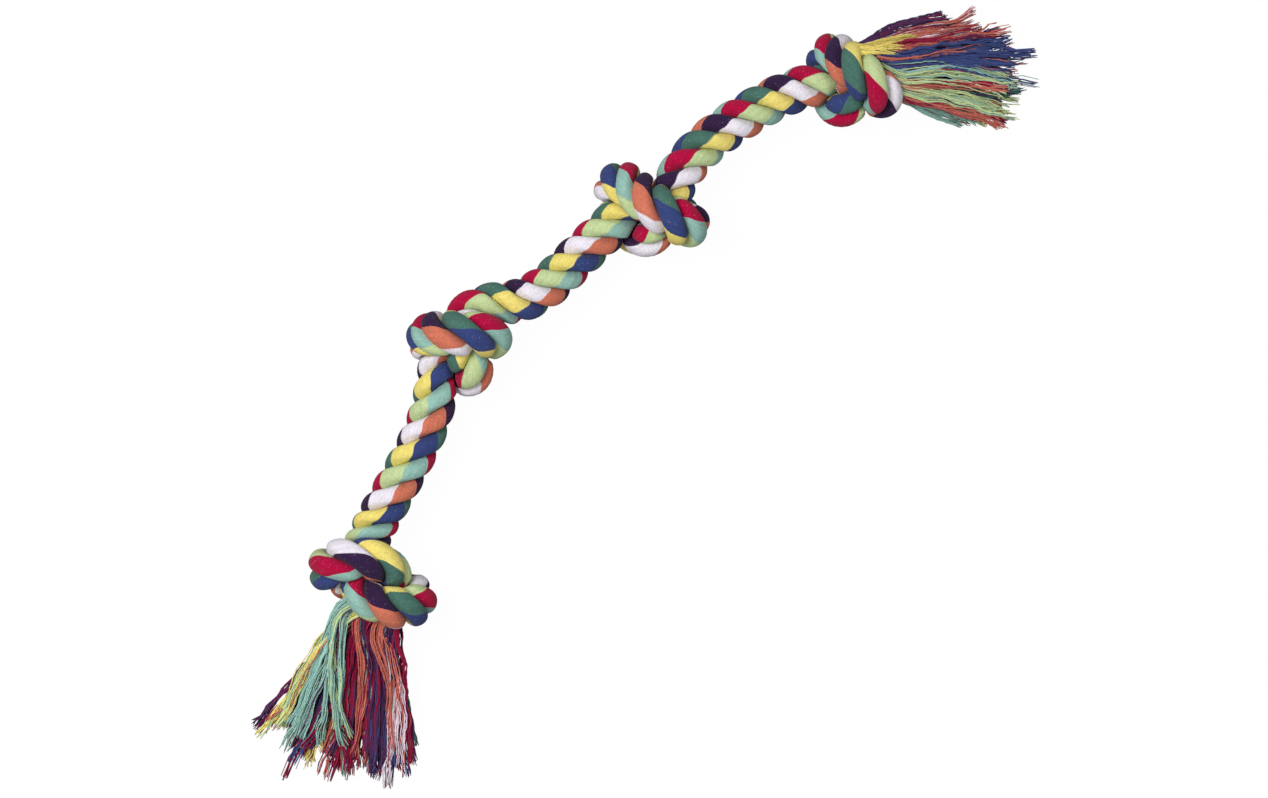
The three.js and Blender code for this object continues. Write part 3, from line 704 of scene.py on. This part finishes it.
def tipward(t):
    """From 0 where the tips begin to fray to 1 at the lock's end, and a little beyond."""
    return np.clip((t - (1 - TIP_SHARE)) / TIP_SHARE, 0, 1.1) ** 2


def bundle_offsets(t, length, breadth, leaves, lands, rng):
    """How far each bundle of a lock lies to the left of its middle, and how high, along its length."""
    bundles = len(t)
    across = (np.arange(bundles) + rng.uniform(*BUNDLE_SEATS, bundles)) / bundles * 2 - 1
    wide = np.interp(t, BREADTH_PLACES, BREADTH_SHARES) * (breadth - BUNDLE_SPACING / 2) / 2
    phase = TURN * length / (WAVE_LENGTH * rng.uniform(*WAVE_LENGTH_SHARES, (bundles, 1)))
    size = WAVE * rng.uniform(*WAVE_SHARES, (bundles, 1)) * np.clip(t / WAVE_START_SHARE, 0, 1)
    wave = size * np.sin(phase + rng.uniform(0, TURN, (bundles, 1)))
    roams = np.where(rng.random((bundles, 1)) < ROAMING_SHARE, ROAMING, STEADY)
    aside = across[:, None] * wide + wave + roams * wander(t, bundles, DRIFT_ASIDE, rng)
    aside += tipward(t) * rng.normal(0, TIP_ASIDE, (bundles, 1))

    height = leaves + (lands - leaves) * np.clip(t, 0, 1) ** LANDING_POWER
    height += rng.uniform(-BUNDLE_RISE, BUNDLE_RISE, (bundles, 1))
    height += wander(t, bundles, DRIFT_HEIGHT, rng) + tipward(t) * rng.uniform(*TIP_HEIGHTS, (bundles, 1))
    return aside, height


def lock_yarns(lock, rope_end, axis, left, tip_height, rng):
    """The centre lines and colours of one lock's yarns, in bundles that curl and fray at their tips."""
    colour, mixed, start, way, tip, breadth, layer = lock
    hidden = (start[0] - HIDDEN_LENGTH, start[1] * HIDDEN_ASIDE_SHARE)
    places = [[*rope_end[:2] + axis * p[0] + left * p[1], 0] for p in (hidden, start, way, tip)]
    curve = curve_through(places)[:, :2]
    bundles = max(1, round(breadth / BUNDLE_SPACING))

    t = np.linspace(0, 1, YARN_RINGS)[None] * rng.uniform(*BUNDLE_LENGTHS, (bundles, 1))
    place = t / BUNDLE_LENGTHS[1] * len(curve)
    low = np.minimum(np.floor(place).astype(int), len(curve) - 2)
    forward = curve[low + 1] - curve[low]
    centre = curve[low] + forward * (place - low)[..., None]
    forward /= np.linalg.norm(forward, axis=2)[..., None]
    side = np.stack([-forward[..., 1], forward[..., 0]], -1)
    length = t * travelled(curve[:-1])[-1]
    leaves = rope_end[2] + (layer - 0.5) * THROAT_HEIGHT
    lands = tip_height + (layer - 0.5) * TIP_LAYER_HEIGHT
    aside, height = bundle_offsets(t, length, breadth, leaves, lands, rng)

    count = bundles * BUNDLE_YARNS
    own = np.arange(count) // BUNDLE_YARNS
    t, length, frays = t[own], length[own], tipward(t)[own]
    spread = BUNDLE_RADIUS * np.sqrt(rng.uniform(*BUNDLE_FILL, (count, 1))) * (1 + TIP_OPENING * frays)
    twisted = TURN * length / BUNDLE_TWIST + rng.uniform(0, TURN, (count, 1))
    crimps = TURN * length / rng.uniform(*CRIMP_LENGTHS, (count, 1)) + rng.uniform(0, TURN, (count, 1))
    aside = aside[own] + spread * np.cos(twisted) + CRIMP * np.sin(crimps)
    height = height[own] + spread * np.sin(twisted) + wander(t, count, YARN_DRIFT, rng)
    wild = np.where(rng.random((count, 1)) < WILD_SHARE, 1, 0)
    aside += wild * wander(t, count, WILD_DRIFT, rng)
    height += wild * WILD_HEIGHT * np.clip(t / WAVE_START_SHARE, 0, 1)
    lines = centre[own] + side[own] * aside[..., None]
    lines -= forward[own] * (frays * rng.normal(0, TIP_RAGGEDNESS, (count, 1)))[..., None]
    lines = np.concatenate([lines, np.maximum(height, YARN_RADIUS + YARN_FLOOR_GAP)[..., None]], 2)

    second = np.where(rng.random(bundles) < TAKEN_OVER_BUNDLES, TAKEN_OVER_SHARE, MIXED_SHARE)[own]
    colours = np.where(rng.random(count) < second, mixed, colour)
    strayed = rng.random(count) < STRAY_SHARE
    return lines, np.where(strayed, rng.choice(STRAY_COLOURS, count), colours)


def yarn_tubes(lines, thickness):
    """Thin tubes round the centre lines."""
    forward = np.gradient(lines, axis=1)
    forward /= np.linalg.norm(forward, axis=2)[..., None]
    across = np.cross(forward, [0, 0, 1])
    across /= np.linalg.norm(across, axis=2)[..., None]
    over = np.cross(across, forward)
    turn = (np.arange(YARN_SIDES) + 0.5) * TURN / YARN_SIDES
    out = np.cos(turn)[:, None] * across[:, :, None] + np.sin(turn)[:, None] * over[:, :, None]
    rings = lines.shape[1]
    radius = YARN_RADIUS * np.interp(np.arange(rings), [0, rings - 2, rings - 1], [1, 1, YARN_TIP_SHARE])
    return lines[:, :, None] + (thickness[:, None] * radius)[:, :, None, None] * out


def resampled(rings, count, tucked):
    """The same tube with another number of rings, and one end drawn in to hide inside the next part."""
    place = np.linspace(0, len(rings) - 1, count)
    low = np.minimum(np.floor(place).astype(int), len(rings) - 2)
    part = (place - low)[:, None, None]
    made = rings[low] * (1 - part) + rings[low + 1] * part
    middle = made[tucked].mean(0)
    made[tucked] = middle + (made[tucked] - middle) * TUCKED_SHARE
    return made


def add_tassel(name, rope_end, exit_way, rng):
    """The frayed end, with two pieces of each colour: one by the rope's end and one beyond it."""
    fan = FANS[name]
    rope_end = rope_end - [*TOY_MIDDLE, 0]
    axis = unit(np.array(fan["tip"]) - TOY_MIDDLE - rope_end[:2])
    left = np.array([-axis[1], axis[0]])
    made = [lock_yarns(lock, rope_end, axis, left, fan["tip_height"], rng) for lock in fan["locks"]]
    lines = np.concatenate([lines for lines, _ in made])
    colours = np.concatenate([colours for _, colours in made])
    shades = rng.normal(0, 1, len(lines))
    tubes = yarn_tubes(lines, rng.uniform(*YARN_THICKNESSES, len(lines)))
    # Each yarn's two parts share three rings, and each has four or more
    split = np.argmax((lines - rope_end) @ exit_way >= SPLIT_REACH, axis=1)
    split = np.clip(split, 2, YARN_RINGS - 3)

    def beyond(reaches):
        return [rope_end * MM + exit_way * distance * MM for distance in reaches]

    lifting = (fan["knot"], fan["root"], *beyond(LIFT_REACHES))
    swinging = (fan["root"], name, *beyond(SWING_REACHES))
    for colour in sorted(set(colours)):
        mine = np.nonzero(colours == colour)[0]
        near = np.array([resampled(tubes[i, : split[i] + 2], NEAR_RINGS, -1) for i in mine])
        far = np.array([resampled(tubes[i, split[i] - 1 :], YARN_RINGS - NEAR_RINGS, 0) for i in mine])
        for part, stack, blending in (("near", near, lifting), ("far", far, swinging)):
            mesh = tube_mesh(f"{name}_{colour}_yarn_{part}", stack)
            own_shades = np.broadcast_to(shades[mine, None, None], stack.shape[:3])
            point_attribute(mesh, "shade", "FLOAT", own_shades)
            node = f"{name}_{colour}_bunch"
            piece = add_piece(mesh, MATERIALS[f"{colour} yarn"], [node])
            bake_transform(piece)


# Soft spun cotton is matt, and its loose fibres give it a faint sheen
COTTON_ROUGHNESS = 0.92
COTTON_IOR = 1.53
COTTON_SPECULAR = 0.1
COTTON_SHEEN = 0.05
SHEEN_ROUGHNESS = 0.6

# Spun yarns lie side by side about this far apart, and their streaks are this many times as long. The
# tufts of fibre between them are finer, about 0.2 mm, and drawn as coarse as the picture needs to
# show them
YARN_BREADTH = 0.9 * MM
YARN_DRAWN_OUT = 9
FIBRE_BREADTH = 0.6 * MM
STRAND_RADIUS = 6.5 * MM
# The borders between the plies wobble, by a share of a turn, and blur
BORDER_WOBBLE = 0.05
WOBBLE_SCALE = 9
BORDER_BLUR = 0.006
# How much the tufts, the yarns and the ground between them add to a strand's colour: about 1 together
TUFT_LIGHT = 0.7
YARN_LIGHT = 0.45
GROUND_LIGHT = 0.42
# Pale lint sits where the tufts stand highest
LINT = "#ece4e4"
LINT_FROM = 0.62
LINT_FULL = 0.8
LINT_COVER = 0.3
STRAND_BUMP = 0.5 * MM
STRAND_BUMP_STRENGTH = 0.55
# In loose yarn, how much the tufts and the ground add, and how far yarns differ in their share of dye
LOOSE_TUFT_LIGHT = 0.8
LOOSE_GROUND_LIGHT = 0.65
LOOSE_DYE_SPREAD = 0.13
LOOSE_BUMP = 0.2 * MM
LOOSE_BUMP_STRENGTH = 0.4


def linear(hex_colour):
    """sRGB hex as linear colour."""
    parts = [int(hex_colour[i : i + 2], 16) / 255 for i in (1, 3, 5)]
    return (*[c / 12.92 if c <= 0.04045 else ((c + 0.055) / 1.055) ** 2.4 for c in parts], 1)


def add_node(tree, kind, links=None, **settings):
    """A node with its settings, and its inputs as values or as links from other nodes' outputs."""
    made = tree.nodes.new(kind)
    for key, value in settings.items():
        setattr(made, key, value)
    for socket, value in (links or {}).items():
        if isinstance(value, bpy.types.NodeSocket):
            tree.links.new(value, made.inputs[socket])
        else:
            made.inputs[socket].default_value = value
    return made


def cotton(name):
    """Soft spun cotton: matt, with the faint sheen of its loose fibres."""
    material = bpy.data.materials.new(name)
    material.use_nodes = True
    tree = material.node_tree
    shader = tree.nodes["Principled BSDF"]
    shader.inputs["Roughness"].default_value = COTTON_ROUGHNESS
    shader.inputs["IOR"].default_value = COTTON_IOR
    shader.inputs["Specular IOR Level"].default_value = COTTON_SPECULAR
    shader.inputs["Sheen Weight"].default_value = COTTON_SHEEN
    shader.inputs["Sheen Roughness"].default_value = SHEEN_ROUGHNESS
    return material, tree, shader


def ply_bands(tree, ply, plies):
    """The colours of a strand's three plies, by the angle about the strand in its ply coordinates."""
    parts = add_node(tree, "ShaderNodeSeparateXYZ", {0: ply}).outputs
    wobble = add_node(
        tree, "ShaderNodeTexNoise", {"Vector": ply, "Scale": WOBBLE_SCALE, "Detail": 3}
    ).outputs["Fac"]
    angle = add_node(tree, "ShaderNodeMath", {0: parts[1], 1: parts[0]}, operation="ARCTAN2").outputs[0]
    turn = add_node(
        tree, "ShaderNodeMath", {0: angle, 1: 1 / TURN, 2: (1 - BORDER_WOBBLE) / 2}, operation="MULTIPLY_ADD"
    ).outputs[0]
    wavy = add_node(
        tree, "ShaderNodeMath", {0: wobble, 1: BORDER_WOBBLE, 2: turn}, operation="MULTIPLY_ADD"
    ).outputs[0]
    bands = add_node(tree, "ShaderNodeValToRGB", {"Fac": wavy})
    ramp = bands.color_ramp
    first, second = 1 / 3, 2 / 3
    places = [0, first - BORDER_BLUR, first + BORDER_BLUR, second - BORDER_BLUR, second + BORDER_BLUR, 1]
    while len(ramp.elements) < len(places):
        ramp.elements.new(0.5)
    for i, element in enumerate(ramp.elements):
        element.position = places[i]
        element.color = linear(DYES[plies[i // 2]])
    return bands.outputs["Color"]


def laid_cotton(name, plies):
    """Cotton strand of three dyed plies that lie side by side, with yarns that run along them."""
    material, tree, shader = cotton(name)
    ply = add_node(tree, "ShaderNodeAttribute", attribute_name="ply").outputs["Vector"]
    where = add_node(tree, "ShaderNodeNewGeometry").outputs["Position"]
    bands = ply_bands(tree, ply, plies)

    # In metres round the strand, and drawn out along it
    to_yarns = (STRAND_RADIUS, STRAND_RADIUS, PLY_UNIT * MM / YARN_DRAWN_OUT)
    drawn_out = add_node(tree, "ShaderNodeVectorMath", {0: ply, 1: to_yarns}, operation="MULTIPLY").outputs[0]
    yarns = add_node(
        tree, "ShaderNodeTexNoise",
        {"Vector": drawn_out, "Scale": 1 / (2 * YARN_BREADTH), "Detail": 2.5, "Roughness": 0.6},
    ).outputs["Fac"]
    tufts = add_node(
        tree, "ShaderNodeTexNoise",
        {"Vector": where, "Scale": 1 / (2 * FIBRE_BREADTH), "Detail": 3, "Roughness": 0.7},
    ).outputs["Fac"]
    grain = add_node(
        tree, "ShaderNodeMath", {0: tufts, 1: TUFT_LIGHT, 2: GROUND_LIGHT}, operation="MULTIPLY_ADD"
    ).outputs[0]
    light = add_node(
        tree, "ShaderNodeMath", {0: yarns, 1: YARN_LIGHT, 2: grain}, operation="MULTIPLY_ADD"
    ).outputs[0]
    shaded = add_node(tree, "ShaderNodeVectorMath", {0: bands, "Scale": light}, operation="SCALE").outputs[0]
    lint = add_node(
        tree, "ShaderNodeMapRange",
        {"Value": tufts, "From Min": LINT_FROM, "From Max": LINT_FULL, "To Min": 0, "To Max": LINT_COVER},
    ).outputs[0]
    flecked = add_node(
        tree, "ShaderNodeMix", {"Factor": lint, "A": shaded, "B": linear(LINT)}, data_type="RGBA"
    ).outputs["Result"]
    tree.links.new(flecked, shader.inputs["Base Color"])
    relief = add_node(
        tree, "ShaderNodeMath", {0: tufts, 1: 0.5, 2: yarns}, operation="MULTIPLY_ADD"
    ).outputs[0]
    bump = add_node(
        tree, "ShaderNodeBump", {"Height": relief, "Strength": STRAND_BUMP_STRENGTH, "Distance": STRAND_BUMP}
    )
    tree.links.new(bump.outputs[0], shader.inputs["Normal"])
    return material


def loose_cotton(name, dye):
    """Loose cotton yarn: each yarn took the dye a little more or less, and its fibres stand off."""
    material, tree, shader = cotton(name)
    own = add_node(tree, "ShaderNodeAttribute", attribute_name="shade").outputs["Fac"]
    where = add_node(tree, "ShaderNodeNewGeometry").outputs["Position"]
    tufts = add_node(
        tree, "ShaderNodeTexNoise", {"Vector": where, "Scale": 1 / (2 * FIBRE_BREADTH), "Detail": 2}
    ).outputs["Fac"]
    level = add_node(
        tree, "ShaderNodeMath", {0: own, 1: LOOSE_DYE_SPREAD, 2: LOOSE_GROUND_LIGHT}, operation="MULTIPLY_ADD"
    ).outputs[0]
    light = add_node(
        tree, "ShaderNodeMath", {0: tufts, 1: LOOSE_TUFT_LIGHT, 2: level}, operation="MULTIPLY_ADD"
    ).outputs[0]
    # The yarn's dye, lifted for the darkest colours by a painted sheen of its loose fibres
    colour = linear(YARN_DYES_WITH_PAINTED_SHEEN[dye])[:3]
    shaded = add_node(
        tree, "ShaderNodeVectorMath", {0: colour, "Scale": light}, operation="SCALE"
    ).outputs[0]
    tree.links.new(shaded, shader.inputs["Base Color"])
    bump = add_node(
        tree, "ShaderNodeBump", {"Height": tufts, "Strength": LOOSE_BUMP_STRENGTH, "Distance": LOOSE_BUMP}
    )
    tree.links.new(bump.outputs[0], shader.inputs["Normal"])
    return material


# Strands' and yarns' materials by name, which main makes before the pieces
MATERIALS = {}

# The photograph looks straight down, with the toy lying across the frame's diagonal
PHOTO_WIDTH = 1268
# Millimetres of the rope that one of its pixels shows
PIXEL = 0.53
VIEW_ROLL = -45
LENS = 100
SENSOR = 36

# Stage and light, in metres and watts. To the camera the paper is mostly a white glow, and the toy's
# shadow shades the rest. Each lamp has a place, a breadth and a power
FLOOR_REACH = 4
FLOOR_DROP = 0.0005
PAPER = "#8c8c8c"
PAPER_ROUGHNESS = 0.9
PAPER_GLOW = 1.08
PAPER_GLOW_SHARE = 0.9
AMBIENT = 0.44
LAMPS = {"key": ((-0.3, 0.55, 1.6), 0.7, 22), "fill": ((0.9, -0.6, 1.3), 1.2, 3)}


def make_camera():
    camera = bpy.data.cameras.new("camera")
    camera.lens = LENS
    camera.sensor_width = SENSOR
    height = PHOTO_WIDTH * PIXEL * LENS / SENSOR + STRETCH_HEIGHT
    holder = bpy.data.objects.new("camera", camera)
    holder.location = Vector((-TOY_MIDDLE[0], -TOY_MIDDLE[1], height)) * MM
    holder.rotation_euler = (0, 0, math.radians(VIEW_ROLL))
    bpy.context.scene.collection.objects.link(holder)
    bpy.context.scene.camera = holder


def make_floor():
    """A pale floor that keeps the toy's shadow."""
    r = FLOOR_REACH
    floor_mesh = bpy.data.meshes.new("floor")
    floor_mesh.from_pydata([(-r, -r, 0), (r, -r, 0), (r, r, 0), (-r, r, 0)], [], [(0, 1, 2, 3)])
    floor = bpy.data.objects.new("floor", floor_mesh)
    floor.location.z = -FLOOR_DROP
    bpy.context.scene.collection.objects.link(floor)
    material = bpy.data.materials.new("white paper")
    material.use_nodes = True
    tree = material.node_tree
    paper = tree.nodes["Principled BSDF"]
    paper.inputs["Base Color"].default_value = linear(PAPER)
    paper.inputs["Roughness"].default_value = PAPER_ROUGHNESS
    seen = add_node(tree, "ShaderNodeLightPath").outputs["Is Camera Ray"]
    share = add_node(tree, "ShaderNodeMath", {0: seen, 1: PAPER_GLOW_SHARE}, operation="MULTIPLY").outputs[0]
    glow = add_node(tree, "ShaderNodeEmission", {"Color": (1, 1, 1, 1), "Strength": PAPER_GLOW}).outputs[0]
    mix = add_node(tree, "ShaderNodeMixShader", {0: share, 1: paper.outputs[0], 2: glow}).outputs[0]
    tree.links.new(mix, tree.nodes["Material Output"].inputs["Surface"])
    floor_mesh.materials.append(material)


def make_light():
    """Soft light from above, and a white surround that the camera sees brighter than it lights."""
    world = bpy.data.worlds.new("studio")
    world.use_nodes = True
    bpy.context.scene.world = world
    tree = world.node_tree
    background = tree.nodes["Background"]
    seen = add_node(tree, "ShaderNodeLightPath").outputs["Is Camera Ray"]
    level = add_node(tree, "ShaderNodeMapRange", {"Value": seen, "To Min": AMBIENT, "To Max": 1}).outputs[0]
    background.inputs["Color"].default_value = (1, 1, 1, 1)
    tree.links.new(level, background.inputs["Strength"])

    for name, (place, breadth, power) in LAMPS.items():
        light = bpy.data.lights.new(name, "AREA")
        light.size = breadth
        light.energy = power
        lamp = bpy.data.objects.new(name, light)
        lamp.location = place
        lamp.rotation_euler = (-Vector(place)).to_track_quat("-Z", "Y").to_euler()
        bpy.context.scene.collection.objects.link(lamp)


def main():
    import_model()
    make_camera()
    make_floor()
    make_light()
    for colour, plies in STRANDS.items():
        MATERIALS[f"{colour} strand"] = laid_cotton(f"laid cotton {colour}", plies)
    for dye in DYES:
        MATERIALS[f"{dye} yarn"] = loose_cotton(f"loose cotton {dye}", dye)

    route, ends = lay_rope()
    upward, aside = carry_frames(route)
    lay, plies = lay_angles(route, upward, aside)
    limits = reach_limits(route, upward, aside)
    add_strands((route - [*TOY_MIDDLE, 0], upward, aside, lay, plies, limits), ends)
    rng = np.random.default_rng(YARN_SEED)
    add_tassel("tassel_1", route[0], unit(route[0] - route[1]), rng)
    add_tassel("tassel_2", route[-1], unit(route[-1] - route[-2]), rng)

    bpy.context.scene.view_settings.view_transform = "Standard"
    bpy.context.view_layer.update()


main()
